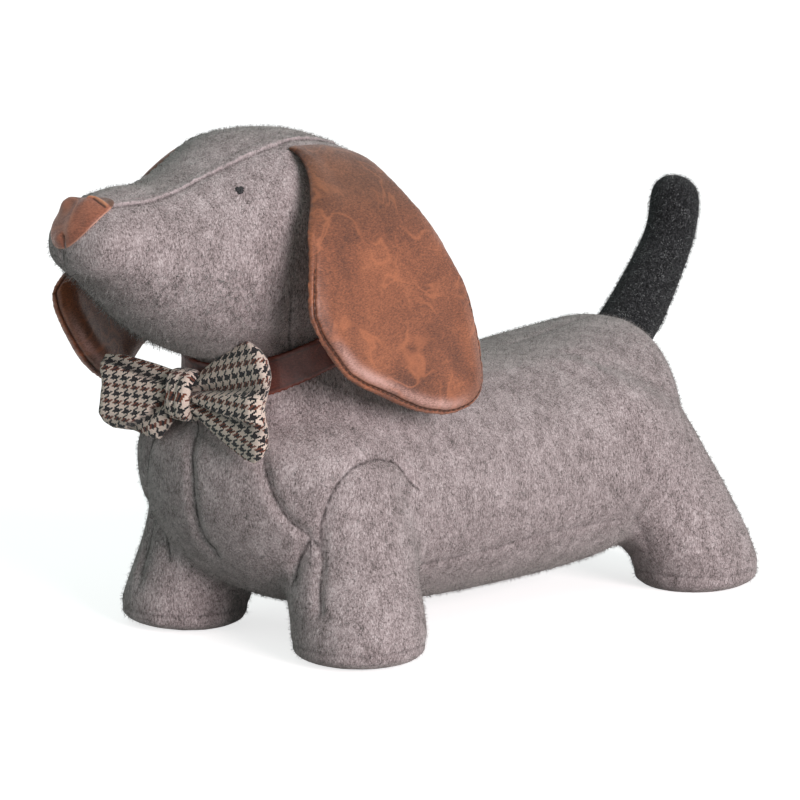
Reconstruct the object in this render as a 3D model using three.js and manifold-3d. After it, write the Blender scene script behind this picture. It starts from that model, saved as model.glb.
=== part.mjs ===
// A weighted felt door stop in the shape of a long low dog, in millimetres with Z up.
// The dog looks along -Y and its left side is +X. Its pieces are placed from a point on the floor,
// midway between the four feet, and the last lines move that point so that the whole dog is centred.
import * as THREE from 'three';
import { mergeVertices } from 'three/addons/utils/BufferGeometryUtils.js';
import Module from 'manifold-3d';

const wasm = await Module();
wasm.setup();

// The feet
const trackWidth = 110;
const wheelbase = 223;
const legDiameter = 57.5;
const soleHeight = 8;
const soleRounding = 9;

// The trunk
const chestOverhang = 46;
const rumpOverhang = 18;
const trunkWidth = 132;
const chestWidth = 132;
const backHeight = 112;
const backRise = 12;
const backShape = [[0, 0], [0.55, 0], [0.68, 0.12], [0.81, 0.46], [0.92, 0.86], [1, 1]];
const bellyClearance = 11;
const chestMiddleHeight = 82;
const chestRounding = 58;
const chestCornerRounding = 44;
const rumpRounding = 30;
const rumpCornerRounding = 76;
const trunkSquareness = 2.35;

// The tops of the legs, hidden in the trunk
const shoulderHeight = 93;
const haunchHeight = 106;
const legInset = 13;
const legTopRounding = 46;
const shoulderSetback = 10;
const shoulderDepth = 64;
const haunchLead = 51;
const haunchDepth = 74;

// The neck
const neckFoot = 70;
const neckTopDepth = 38.5;
const neckWidth = 92;
const neckFootWidth = 122;
const throatSetback = 13;
const napeSetback = 108;
const napeFootSetback = 154;
const neckSquareness = 2.1;

// The head
const crownHeight = 224.5;
const headLength = 188;
const muzzleOverhang = 67.5;
const headWidth = 106;
const muzzleWidth = 42;
const muzzleHeight = 31;
const muzzleDrop = 21;
const headDepth = 98;
const gussetWidth = 56;
const muzzleGussetWidth = 26;
const gussetEdgeDrop = 5;
const muzzleRounding = 11;
const napeRounding = 50;

// The nose patch and the eyes
const leatherThickness = 1.6;
const noseWidth = 29;
const noseHeight = 22;
const noseLength = 15;
const noseTipWidth = 8;
const eyeDiameter = 5;
const eyeThickness = 1;
const eyeSetback = 68;
const eyeDrop = 21.8;

// The ears
const earLength = 138;
const earWidth = 94;
const earRootWidth = 40;
const earThickness = 7;
const earSetback = 118;
const earHang = [
  [-0.03, 0.02], [0.015, 0], [0.07, 0.015], [0.145, 0.07], [0.225, 0.17], [0.29, 0.31], [0.335, 0.485],
  [0.35, 0.69], [0.35, 1],
];
const nearEarLay = { spread: 1, swing: 0, hinge: 0, wrap: 0 };
const farEarLay = { spread: 1.12, swing: 0.46, hinge: 0.48, wrap: 0.16 };

// The collar and the bow tie
const collarWidth = 16;
const collarThickness = 2.2;
const collarHeight = 119;
const collarRise = 34;
const bowSpan = 104;
const bowLeftHeight = 49;
const bowRightHeight = 38;
const bowWaistHeight = 17;
const bowEndThickness = 11;
const bowWaistThickness = 8;
const bowPleatDepth = 2.4;
const bowDroop = 7;
const bowShift = -7;
const knotWidth = 13;
const knotThickness = 2.6;

// The tail
const tailLength = 90;
const tailBaseDiameter = 30;
const tailTipDiameter = 22;
const tailSetIn = 7;

// Gap between pieces that are sewn together
const seamGap = 0.3;

// Points round each skin
const bodyPoints = 48;
const legPoints = 32;
const smallPoints = 24;

const frontLegY = -wheelbase / 2;
const rearLegY = wheelbase / 2;
const chestY = frontLegY - chestOverhang;
const rumpY = rearLegY + rumpOverhang;
const trunkLength = rumpY - chestY;
const noseY = chestY - muzzleOverhang;
const headBackY = noseY + headLength;
const neckTop = crownHeight - neckTopDepth;
const smooth = (t) => t * t * (3 - 2 * t);
const { lerp, clamp } = THREE.MathUtils;

// Turns a closed three.js geometry into a solid that can be joined and cut
function solidOf(geometry) {
  const bare = geometry.clone();
  for (const name of Object.keys(bare.attributes)) {
    if (name !== 'position') bare.deleteAttribute(name);
  }
  const merged = mergeVertices(bare, 1e-4);
  const vertProperties = new Float32Array(merged.attributes.position.array);
  const triVerts = new Uint32Array(merged.index.array);
  return new wasm.Manifold(new wasm.Mesh({ numProp: 3, vertProperties, triVerts }));
}

// The largest piece of a solid, as a three.js geometry
function geometryOf(solid) {
  const largest = solid.decompose().reduce((a, b) => (a.volume() > b.volume() ? a : b));
  const mesh = largest.getMesh();
  const geometry = new THREE.BufferGeometry();
  geometry.setAttribute('position', new THREE.BufferAttribute(new Float32Array(mesh.vertProperties), 3));
  geometry.setIndex(new THREE.BufferAttribute(new Uint32Array(mesh.triVerts), 1));
  geometry.computeVertexNormals();
  return geometry;
}

// A closed skin over a row of rings, with a fan of triangles to the middle of each end ring
function skin(rings) {
  const count = rings[0].length;
  const points = rings.flat();
  const faces = [];
  for (let r = 0; r + 1 < rings.length; r += 1) {
    for (let i = 0; i < count; i += 1) {
      const a = r * count + i;
      const b = r * count + ((i + 1) % count);
      faces.push(a, b, b + count, a, b + count, a + count);
    }
  }
  for (const last of [false, true]) {
    const first = last ? (rings.length - 1) * count : 0;
    const ring = points.slice(first, first + count);
    points.push(ring.reduce((sum, p) => sum.add(p), new THREE.Vector3()).divideScalar(count));
    for (let i = 0; i < count; i += 1) {
      const [a, b] = [first + i, first + ((i + 1) % count)];
      faces.push(points.length - 1, ...(last ? [a, b] : [b, a]));
    }
  }
  const geometry = new THREE.BufferGeometry().setFromPoints(points);
  geometry.setIndex(volumeOf(points, faces) < 0 ? faces.reverse() : faces);
  return geometry;
}

function volumeOf(points, faces) {
  let volume = 0;
  for (let i = 0; i < faces.length; i += 3) {
    const [a, b, c] = faces.slice(i, i + 3).map((k) => points[k]);
    volume += a.dot(b.clone().cross(c));
  }
  return volume;
}

// Smooth value at t from rows of [t, value], passing through every row
function follow(rows, t) {
  const last = rows.length - 1;
  if (t <= rows[0][0]) return rows[0][1];
  if (t >= rows[last][0]) return rows[last][1];
  let i = 0;
  while (t > rows[i + 1][0]) i += 1;
  const slope = (k) => {
    const [before, after] = [rows[Math.max(0, k - 1)], rows[Math.min(last, k + 1)]];
    return (after[1] - before[1]) / (after[0] - before[0]);
  };
  const span = rows[i + 1][0] - rows[i][0];
  const u = (t - rows[i][0]) / span;
  const bend = slope(i) * u * (1 - u) ** 2 - slope(i + 1) * (1 - u) * u ** 2;
  return lerp(rows[i][1], rows[i + 1][1], smooth(u)) + span * bend;
}

// Share of its full size that a rounded end has reached, 0 at the tip and 1 at the given depth
function dome(distance, depth, power = 2) {
  return (1 - (1 - clamp(distance / depth, 0, 1)) ** power) ** (1 / power);
}

// Places from one end to the other that crowd together towards both ends
function stations(from, to, count) {
  const share = (i) => (1 - Math.cos((Math.PI * i) / (count - 1))) / 2;
  return Array.from({ length: count }, (_, i) => lerp(from, to, share(i)));
}

// Points round an oval with the given squareness, each -1 to 1 across and up
function oval(count, squareness) {
  const power = (v) => Math.sign(v) * Math.abs(v) ** (2 / squareness);
  return Array.from({ length: count }, (_, i) => {
    const angle = (2 * Math.PI * i) / count;
    return [power(Math.cos(angle)), power(Math.sin(angle))];
  });
}

// The trunk, ring by ring from chest to rump
function trunk(grow) {
  const section = oval(bodyPoints, trunkSquareness);
  return skin(stations(chestY - grow, rumpY + grow, 34).map((y) => {
    const t = (y - chestY) / trunkLength;
    const [fromChest, fromRump] = [y - chestY + grow, rumpY + grow - y];
    const round = Math.max(dome(fromChest, chestRounding) * dome(fromRump, rumpRounding, 2.2), 0.01);
    const pinch = dome(fromChest, chestCornerRounding) * dome(fromRump, rumpCornerRounding);
    const corner = Math.max(pinch, 0.01);
    const half = lerp(chestWidth, trunkWidth, smooth(clamp(t * 3, 0, 1))) / 2;
    const top = backHeight + backRise * follow(backShape, t);
    const belly = [[0, 10], [0.17, 8], [0.35, 2], [0.5, 0.5], [0.75, 3], [1, 14]];
    const bottom = bellyClearance + follow(belly, t);
    const middle = lerp(chestMiddleHeight, (top + bottom) / 2, smooth(clamp(t * 3, 0, 1)));
    return section.map(([c, s]) => {
      const reach = s > 0 ? top - middle : middle - bottom;
      return new THREE.Vector3(c * (half * corner + grow), y, middle + s * (reach * round + grow));
    });
  }));
}

// Front and back of the neck at a height
function neckFront(z) {
  const throat = [[0, 0.1], [0.15, 0.2], [0.38, 1], [0.6, 0.95], [1, 1.1]];
  return chestY + throatSetback * follow(throat, neckShare(z));
}

function neckBack(z) {
  return chestY + lerp(napeFootSetback, napeSetback, neckShare(z));
}

function neckShare(z) {
  return (z - neckFoot) / (neckTop - neckFoot);
}

// The neck, from inside the trunk up into the head
function neck(grow) {
  const section = oval(bodyPoints, neckSquareness);
  return skin(Array.from({ length: 16 }, (_, i) => {
    const z = lerp(neckFoot, neckTop, i / 15);
    const waisting = follow([[0, 0], [0.2, 0.3], [0.35, 0.8], [0.5, 1], [0.75, 1], [1, 1.1]], i / 15);
    const half = lerp(neckFootWidth, neckWidth, waisting) / 2 + grow;
    const depth = (neckBack(z) - neckFront(z)) / 2 + grow;
    const middle = (neckBack(z) + neckFront(z)) / 2;
    return section.map(([c, s]) => new THREE.Vector3(c * half, middle + s * depth, z));
  }));
}

// Heights and widths of the head, from 0 at the nose to 1 at the back
function headSize(t) {
  const bridge = [[0, 1.5], [0.04, 1.15], [0.09, 0.96], [0.15, 0.8], [0.21, 0.83], [0.27, 0.8]];
  const brow = [[0.33, 0.62], [0.39, 0.28], [0.452, 0.04], [0.52, 0]];
  const crown = [[0.64, 0.08], [0.77, 0.45], [0.9, 1], [1, 1.6]];
  const chin = [[0, 0], [0.064, 0.08], [0.12, 0.28], [0.175, 0.48]];
  const jaw = [[0.234, 0.65], [0.33, 0.87], [0.42, 0.98]];
  const nape = [[0.52, 1], [0.62, 0.96], [0.75, 0.82], [0.88, 0.62], [1, 0.45]];
  const cheek = [[0, 0], [0.1, 0.1], [0.3, 0.55], [0.5, 0.88], [0.7, 1], [1, 0.95]];
  const panel = [[0, 0], [0.2, 0.2], [0.5, 0.95], [0.6, 1], [0.8, 0.85], [1, 0.1]];
  const curl = [[0, 0.6], [0.1, 0.8], [0.2, 0.8], [0.3, 0.4], [0.4, 0.95], [0.47, 1.2], [0.6, 1], [1, 0.9]];
  const muzzleTop = crownHeight - muzzleDrop;
  const top = crownHeight - muzzleDrop * follow([...bridge, ...brow, ...crown], t);
  return {
    top,
    edge: top - gussetEdgeDrop * follow(curl, t),
    bottom: lerp(muzzleTop - muzzleHeight, crownHeight - headDepth, follow([...chin, ...jaw, ...nape], t)),
    half: lerp(muzzleWidth, headWidth, follow(cheek, t)) / 2,
    gusset: lerp(muzzleGussetWidth, gussetWidth, follow(panel, t)) / 2,
  };
}

// One side of a head section: the top panel, then its seam, then the bulging cheek down to the jaw
function headProfile(t) {
  const { top, edge, bottom, half, gusset } = headSize(t);
  const steps = bodyPoints / 8;
  const widest = lerp(bottom, top, 0.5);
  const panel = Array.from({ length: steps + 1 }, (_, i) => {
    return [gusset * i / steps, lerp(top, edge, (i / steps) ** 2)];
  });
  const start = 0.55;
  const upper = Array.from({ length: steps }, (_, i) => {
    const angle = lerp(start, Math.PI / 2, (i + 1) / steps);
    const out = (Math.sin(angle) - Math.sin(start)) / (1 - Math.sin(start));
    return [lerp(gusset, half, out), widest + (edge - widest) * Math.cos(angle) / Math.cos(start)];
  });
  const lower = Array.from({ length: 2 * steps }, (_, i) => {
    const angle = (Math.PI / 2) * (i + 1) / (2 * steps);
    return [half * Math.cos(angle) ** (2 / 2.3), widest - (widest - bottom) * Math.sin(angle) ** (2 / 2.3)];
  });
  return [...panel, ...upper, ...lower];
}

function head(grow) {
  return skin(stations(noseY - grow, headBackY + grow, 34).map((y) => {
    const right = headProfile((y - noseY) / headLength);
    const ends = dome(y - noseY + grow, muzzleRounding, 2.5) * dome(headBackY + grow - y, napeRounding);
    const round = Math.max(ends, 0.01);
    const middle = (right[0][1] + right[right.length - 1][1]) / 2;
    const left = right.slice(1, -1).reverse().map(([x, z]) => [-x, z]);
    return [...right, ...left].map(([x, z]) => {
      const out = new THREE.Vector2(x, z - middle).multiplyScalar(round);
      out.addScaledVector(out.clone().normalize(), grow);
      return new THREE.Vector3(out.x, y, middle + out.y);
    });
  }));
}

// Each leg: its side, the place of its foot, and how its hidden top differs from a straight column
const upright = [[0, 0], [0.25, 0.25], [0.5, 0.7], [1, 1]];
const raked = [[0, 0], [0.19, 0.12], [0.43, 0.36], [0.62, 0.65], [0.83, 0.86], [1, 1]];
const shoulder = { top: shoulderHeight, shift: shoulderSetback, depth: shoulderDepth, lean: upright };
const haunch = { top: haunchHeight, shift: -haunchLead, depth: haunchDepth, lean: raked };
const front = { footY: frontLegY, ...shoulder };
const rear = { footY: rearLegY, ...haunch };
const legs = {
  front_left: { side: 1, ...front },
  front_right: { side: -1, ...front },
  rear_left: { side: 1, ...rear },
  rear_right: { side: -1, ...rear },
};

function leg({ side, footY, top, shift, depth, lean }, grow) {
  const section = oval(legPoints, 2.15);
  return skin(stations(soleHeight, top + grow, 16).map((z) => {
    const t = (z - soleHeight) / (top - soleHeight);
    const round = Math.max(dome(top + grow - z, legTopRounding), 0.02);
    const halfX = legDiameter / 2 * round + grow;
    const halfY = lerp(legDiameter, depth, smooth(clamp(t, 0, 1))) / 2 * round + grow;
    const x = side * (trackWidth / 2 - legInset * smooth(clamp(t * 1.8, 0, 1)));
    const y = footY + shift * follow(lean, t);
    return section.map(([c, s]) => new THREE.Vector3(x + c * halfX, y + s * halfY, z));
  }));
}

// The stuffed felt skin, or the same skin grown outwards to cut its neighbours to fit
function body(grow = 0) {
  const lofts = [trunk(grow), neck(grow), head(grow), ...Object.values(legs).map((l) => leg(l, grow))];
  return lofts.map(solidOf).reduce((whole, piece) => whole.add(piece));
}

// A felt sole: a shallow dish under the leg's end, flat where it stands
function sole({ side, footY }) {
  const section = oval(legPoints, 2.15);
  const height = soleHeight - seamGap;
  return skin(Array.from({ length: 7 }, (_, i) => {
    const angle = (Math.PI / 2) * (i / 6);
    const radius = legDiameter / 2 - soleRounding * (1 - Math.sin(angle));
    return section.map(([c, s]) => {
      const z = height * (1 - Math.cos(angle));
      return new THREE.Vector3(side * trackWidth / 2 + c * radius, footY + s * radius, z);
    });
  }));
}

const seatOnBody = body(seamGap);

// The leather nose: a patch over the muzzle's tip, wide on top and narrow below
function nose() {
  const muzzleTop = crownHeight - muzzleDrop;
  const outline = new THREE.Shape([
    new THREE.Vector2(-noseWidth / 2, muzzleTop + 6),
    new THREE.Vector2(-noseWidth / 2, muzzleTop - noseHeight * 0.25),
    new THREE.Vector2(-noseTipWidth / 2, muzzleTop + 4 - noseHeight),
    new THREE.Vector2(noseTipWidth / 2, muzzleTop + 4 - noseHeight),
    new THREE.Vector2(noseWidth / 2, muzzleTop - noseHeight * 0.25),
    new THREE.Vector2(noseWidth / 2, muzzleTop + 6),
  ]);
  const prism = new THREE.ExtrudeGeometry(outline, { depth: noseLength + 10, bevelEnabled: false });
  prism.rotateX(Math.PI / 2);
  prism.translate(0, noseY + noseLength, 0);
  const layer = solidOf(head(seamGap + leatherThickness));
  return geometryOf(layer.intersect(solidOf(prism)).subtract(seatOnBody));
}

// Where the cheek is at a height, and how far its skin faces upwards there
function cheekAt(t, z) {
  const profile = headProfile(t);
  const i = profile.findIndex(([, height], k) => k > bodyPoints / 8 && height < z);
  const [above, below] = [profile[i - 1], profile[i]];
  const share = (above[1] - z) / (above[1] - below[1]);
  const facing = Math.atan2(below[0] - above[0], above[1] - below[1]);
  return { x: lerp(above[0], below[0], share), facing };
}

// An embroidered eye: a small raised disc that follows the cheek
function eye(side) {
  const z = crownHeight - eyeDrop;
  const { x, facing } = cheekAt(eyeSetback / headLength, z);
  const stamp = new THREE.CylinderGeometry(eyeDiameter / 2, eyeDiameter / 2, 2 * eyeDiameter, smallPoints);
  stamp.rotateZ(Math.PI / 2);
  stamp.rotateY(-side * facing);
  stamp.translate(side * x, noseY + eyeSetback, z);
  const layer = solidOf(head(seamGap + eyeThickness));
  return geometryOf(layer.intersect(solidOf(stamp)).subtract(seatOnBody));
}

// The collar: a strap round the neck, lower at the throat than at the nape
function collar() {
  const throat = neckFront(collarHeight);
  const nape = neckBack(collarHeight + collarRise);
  const edge = (height) => Array.from({ length: 17 }, (_, i) => {
    const share = (i - 2) / 13;
    const rise = collarRise * Math.sin((Math.PI / 2) * Math.min(share, 1.1));
    return new THREE.Vector2(lerp(throat, nape, share), collarHeight + rise + height);
  });
  const band = new THREE.Shape([...edge(-collarWidth / 2), ...edge(collarWidth / 2).reverse()]);
  const slab = new THREE.ExtrudeGeometry(band, { depth: 2 * neckFootWidth, bevelEnabled: false });
  slab.rotateX(Math.PI / 2).rotateZ(Math.PI / 2).translate(-neckFootWidth, 0, 0);
  const strap = solidOf(neck(seamGap + collarThickness)).intersect(solidOf(slab));
  return strap.subtract(seatOnBody);
}

// How far the ear reaches in front of its root and behind it, from its root to its tip
function earEdges(t) {
  const start = earRootWidth / 2;
  const spread = (earWidth - earRootWidth) / 2;
  const upperFront = [[0, 0], [0.16, 0.19], [0.25, 0.41], [0.43, 0.81], [0.635, 1.11]];
  const lowerFront = [[0.71, 0.98], [0.785, 0.7], [0.86, 0.3], [0.935, -0.43], [0.98, -1.07], [1, -1.6]];
  const upperBack = [[0, 0], [0.15, -0.09], [0.29, 0.07], [0.47, 0.54], [0.63, 0.85]];
  const lowerBack = [[0.81, 1.07], [0.91, 1.09], [0.95, 1.02], [0.985, 0.75], [1, 0.4]];
  const ahead = start + spread * follow([...upperFront, ...lowerFront], t);
  const behind = start + spread * follow([...upperBack, ...lowerBack], t);
  return { middle: (behind - ahead) / 2, half: Math.max((ahead + behind) / 2, 0.4) };
}

// An ear laid over a curve that hangs from the seam of the head's top panel.
// The curve's points are shares of the ear's length, outwards from that seam and down from it.
// Spread widens the curve, swing turns the ear forwards below the hinge, and wrap bends its front edge
// in towards the muzzle.
function ear(side, { spread, swing, hinge, wrap }) {
  const rootY = noseY + earSetback;
  const size = headSize(earSetback / headLength);
  const root = new THREE.Vector3(size.gusset, 0, size.edge);
  const points = earHang.map(([out, down]) => {
    return new THREE.Vector3(out * spread, 0, -down).multiplyScalar(earLength).add(root);
  });
  const curve = new THREE.CatmullRomCurve3(points);
  const full = curve.getLength();
  const section = oval(smallPoints, 2.6);
  const solid = solidOf(skin(stations(0, 1, 28).map((t) => {
    const { middle, half } = earEdges(t);
    const turn = swing * smooth(clamp((t - hinge) / (1 - hinge) / 0.85, 0, 1));
    const tip = dome((1 - t) * earLength, 6, 2) || 0.15;
    const thickness = earThickness * lerp(0.6, 1, smooth(clamp(t * 5, 0, 1))) * tip;
    return section.map(([c, s]) => {
      const [across, down] = [middle + c * half, t * earLength];
      const y = rootY + across * Math.cos(turn) - down * Math.sin(turn);
      const along = clamp(down * Math.cos(turn) + across * Math.sin(turn), 0, full);
      const point = curve.getPointAt(along / full);
      const tangent = curve.getTangentAt(along / full);
      const sink = size.top - headSize((y - noseY) / headLength).top;
      const bend = wrap * earLength * smooth(clamp((rootY - y) / earWidth, 0, 1));
      const lift = s * thickness / 2;
      return new THREE.Vector3(
        side * (point.x - bend - tangent.z * lift),
        y,
        point.z + tangent.x * lift - sink * (1 - smooth(clamp(t * 4, 0, 1))),
      );
    });
  })));
  return geometryOf(solid.subtract(seatOnBody));
}

// The bow's two wings, one folded loop of cloth, pinched to a waist under the knot
function bowWings(grow = 0) {
  const section = oval(bodyPoints, 2.6);
  return solidOf(skin(stations(-bowSpan / 2 - grow, bowSpan / 2 + grow, 34).map((x) => {
    const t = Math.abs(x) / (bowSpan / 2);
    const open = smooth(clamp((t - 0.08) / 0.8, 0, 1));
    const round = Math.max(dome(bowSpan / 2 + grow - Math.abs(x), 7), 0.05);
    const endHeight = x > 0 ? bowLeftHeight : bowRightHeight;
    const height = (lerp(bowWaistHeight, endHeight, open) / 2 - 4 * (1 - round)) + grow;
    const thickness = lerp(bowWaistThickness, bowEndThickness, open) / 2;
    const droop = x > 0 ? 2 * t : -bowDroop * t * t;
    return section.map(([c, s]) => {
      const pleat = bowPleatDepth * (1 - 0.6 * t) * Math.cos(3 * Math.PI * s);
      const y = bowY() + 3 * t * t + c * (thickness * round + grow) + (pleat - bowPleatDepth) * 0.5 * round;
      return new THREE.Vector3(bowShift + x, y, bowZ() + droop + s * height);
    });
  })));
}

function bowY() {
  const strapFace = neckFront(collarHeight) - seamGap - collarThickness;
  return strapFace - seamGap - knotThickness - bowWaistThickness / 2;
}

function bowZ() {
  return collarHeight - 6;
}

// The knot: a band round the bow's waist, cut to fit round the wings and against the collar
function knot(strap) {
  const section = oval(smallPoints, 2.8);
  const height = bowWaistHeight / 2 + knotThickness + seamGap;
  const depth = bowWaistThickness / 2 + knotThickness + seamGap + bowPleatDepth / 2;
  const block = skin(stations(-knotWidth / 2, knotWidth / 2, 9).map((x) => {
    const rounding = 1.4 * (1 - dome(knotWidth / 2 - Math.abs(x), 3));
    return section.map(([c, s]) => {
      const y = bowY() - 0.6 + c * (depth - rounding);
      return new THREE.Vector3(bowShift + x, y, bowZ() + s * (height - rounding));
    });
  }));
  return geometryOf(solidOf(block).subtract(bowWings(seamGap)).subtract(seatOnBody).subtract(strap));
}

// The tail: a tapering stuffed tube that leans back and curls up from the rump
function tail() {
  const footZ = backHeight + backRise - 12;
  const footY = rumpY - tailSetIn;
  const route = new THREE.CatmullRomCurve3([
    new THREE.Vector3(0, footY - 14, footZ - 16),
    new THREE.Vector3(0, footY, footZ),
    new THREE.Vector3(0, footY + tailLength * 0.2, footZ + tailLength * 0.25),
    new THREE.Vector3(0, footY + tailLength * 0.36, footZ + tailLength * 0.5),
    new THREE.Vector3(0, footY + tailLength * 0.4, footZ + tailLength * 0.8),
  ]);
  const section = oval(smallPoints, 2);
  const rings = stations(0, 1, 22).map((t) => {
    const point = route.getPointAt(t);
    const tangent = route.getTangentAt(t);
    const round = Math.max(dome((1 - t) * route.getLength(), 10), 0.05);
    const radius = lerp(tailBaseDiameter, tailTipDiameter, smooth(t)) / 2 * round;
    return section.map(([c, s]) => {
      const across = new THREE.Vector3(c, -s * tangent.z, s * tangent.y);
      return point.clone().addScaledVector(across, radius);
    });
  });
  return geometryOf(solidOf(skin(rings)).subtract(seatOnBody));
}

const finish = (color, roughness) => new THREE.MeshStandardMaterial({ color, roughness, metalness: 0 });
const greyFelt = finish(0x9a8f8d, 0.95);
const blackFelt = finish(0x2b2b2c, 0.95);
const leather = finish(0x7a4a33, 0.55);
const darkLeather = finish(0x4d2c20, 0.5);
const checkedCloth = finish(0x8a7f74, 0.9);
const thread = finish(0x1c1b1b, 0.6);

const dog = new THREE.Group();

function addPiece(name, geometry, material) {
  const mesh = new THREE.Mesh(geometry, material);
  mesh.name = name;
  dog.add(mesh);
}

const strap = collar();
addPiece('stuffed_body', geometryOf(body()), greyFelt);
for (const [name, place] of Object.entries(legs)) addPiece(`sole_${name}`, sole(place), greyFelt);
addPiece('nose', nose(), leather);
addPiece('eye_left', eye(1), thread);
addPiece('eye_right', eye(-1), thread);
addPiece('ear_left', ear(1, nearEarLay), leather);
addPiece('ear_right', ear(-1, farEarLay), leather);
addPiece('collar', geometryOf(strap), darkLeather);
addPiece('bow_wings', geometryOf(bowWings().subtract(seatOnBody)), checkedCloth);
addPiece('bow_knot', knot(strap), checkedCloth);
addPiece('tail', tail(), blackFelt);

const bounds = new THREE.Box3().setFromObject(dog);
dog.position.set(-(bounds.min.x + bounds.max.x) / 2, -(bounds.min.y + bounds.max.y) / 2, -bounds.min.z);

export default dog;
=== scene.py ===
import math

import bpy
import numpy as np
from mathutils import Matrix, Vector
from mathutils.kdtree import KDTree


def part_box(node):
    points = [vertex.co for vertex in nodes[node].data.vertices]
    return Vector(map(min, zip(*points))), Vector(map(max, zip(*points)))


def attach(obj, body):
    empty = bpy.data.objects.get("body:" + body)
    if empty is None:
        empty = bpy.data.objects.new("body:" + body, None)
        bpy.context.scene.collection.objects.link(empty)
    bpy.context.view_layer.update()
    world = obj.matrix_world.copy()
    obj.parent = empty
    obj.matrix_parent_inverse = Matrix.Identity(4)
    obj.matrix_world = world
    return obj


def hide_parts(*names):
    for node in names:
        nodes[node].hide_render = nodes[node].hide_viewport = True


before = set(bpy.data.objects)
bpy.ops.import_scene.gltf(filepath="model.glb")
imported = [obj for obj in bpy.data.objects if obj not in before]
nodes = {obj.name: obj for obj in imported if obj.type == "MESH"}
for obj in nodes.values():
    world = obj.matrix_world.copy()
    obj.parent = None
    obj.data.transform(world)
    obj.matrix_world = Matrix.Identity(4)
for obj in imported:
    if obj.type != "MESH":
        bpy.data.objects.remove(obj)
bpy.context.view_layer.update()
scene = bpy.context.scene
MM = 0.001


# Places. Lengths are in millimetres from a point on the floor midway between
# the four feet, with +X to the dog's left and -Y towards its nose.

soles = ["sole_front_left", "sole_front_right", "sole_rear_left", "sole_rear_right"]
sole_middles = [(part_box(sole)[0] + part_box(sole)[1]) / 2 for sole in soles]
feet_middle = sum(sole_middles, Vector()) / 4
feet_middle.z = 0


def place(x, y, z):
    return Vector((x, y, z)) * MM + feet_middle


def millimetres(piece):
    """The piece's points in millimetres from between the feet."""
    points = np.zeros(len(piece.data.vertices) * 3, np.float32)
    piece.data.vertices.foreach_get("co", points)
    return (points.reshape(-1, 3).astype(float) - np.array(feet_middle)) / MM


def measured(point):
    """One point of the scene, in millimetres from between the feet."""
    return (np.array(point) - np.array(feet_middle)) / MM


def put_back(piece, points):
    metres = points * MM + np.array(feet_middle)
    piece.data.vertices.foreach_set("co", metres.astype(np.float32).ravel())
    piece.data.update()


def outwards(piece):
    normals = np.zeros(len(piece.data.vertices) * 3, np.float32)
    piece.data.vertices.foreach_get("normal", normals)
    return normals.reshape(-1, 3).astype(float)


def mark(piece, name, values):
    """Keeps one number for each point of the piece, for its material to read."""
    row = piece.data.attributes.new(name, "FLOAT", "POINT")
    row.data.foreach_set("value", np.asarray(values, np.float32).ravel())


def take(piece):
    bpy.ops.object.select_all(action="DESELECT")
    piece.select_set(True)
    bpy.context.view_layer.objects.active = piece


def smooth(piece):
    take(piece)
    bpy.ops.object.shade_smooth()


def weld(piece, gap, face_out=True):
    """Joins points closer than the gap, in mm, and may turn all faces outwards."""
    take(piece)
    bpy.ops.object.mode_set(mode="EDIT")
    bpy.ops.mesh.select_all(action="SELECT")
    bpy.ops.mesh.remove_doubles(threshold=gap * MM)
    if face_out:
        bpy.ops.mesh.normals_make_consistent(inside=False)
    bpy.ops.object.mode_set(mode="OBJECT")


def flat_grid(name, columns, rows):
    """A flat piece of so many squares, and where its points are across and up, from -1 to 1."""
    bpy.ops.object.select_all(action="DESELECT")
    bpy.ops.mesh.primitive_grid_add(x_subdivisions=columns, y_subdivisions=rows, size=2)
    piece = bpy.context.object
    piece.name = name
    grid = np.array([tuple(v.co) for v in piece.data.vertices])
    return piece, grid[:, 0], grid[:, 1]


def finish_with(piece, kind, **settings):
    take(piece)
    tool = piece.modifiers.new(kind.lower(), kind)
    for name, value in settings.items():
        setattr(tool, name, value)
    bpy.ops.object.modifier_apply(modifier=tool.name)


def smooth_step(low, high, value):
    share = np.clip((value - low) / (high - low), 0, 1)
    return share * share * (3 - 2 * share)


def hill(distance, width):
    """1 at no distance, falling smoothly to 0 some widths away."""
    return np.exp(-(distance / width) ** 2)


def unit(rows, least=1e-9):
    return rows / np.maximum(np.linalg.norm(rows, axis=1, keepdims=True), least)


def lengths_along(line):
    """How far each point of a line is from its start."""
    return np.concatenate([[0], np.cumsum(np.linalg.norm(np.diff(line, axis=0), axis=1))])


def nearest_of(spots, points):
    """For each point, the number of the nearest spot and the distance to it."""
    tree = KDTree(len(spots))
    for number, spot in enumerate(spots):
        tree.insert(spot, number)
    tree.balance()
    found = [tree.find(point) for point in points]
    return np.array([number for _, number, _ in found]), np.array([far for _, _, far in found])


# Stuffed pieces

def copy_of(name, *from_nodes):
    """A new piece with the joined and merged skins of some CAD nodes."""
    copies = []
    for node in from_nodes:
        copy = bpy.data.objects.new(name, nodes[node].data.copy())
        scene.collection.objects.link(copy)
        copies.append(copy)
    take(copies[0])
    for copy in copies:
        copy.select_set(True)
    if len(copies) > 1:
        bpy.ops.object.join()
    piece = copies[0]
    piece.data.materials.clear()
    weld(piece, 0.01, face_out=False)
    return piece


press_frames = 20


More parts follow.
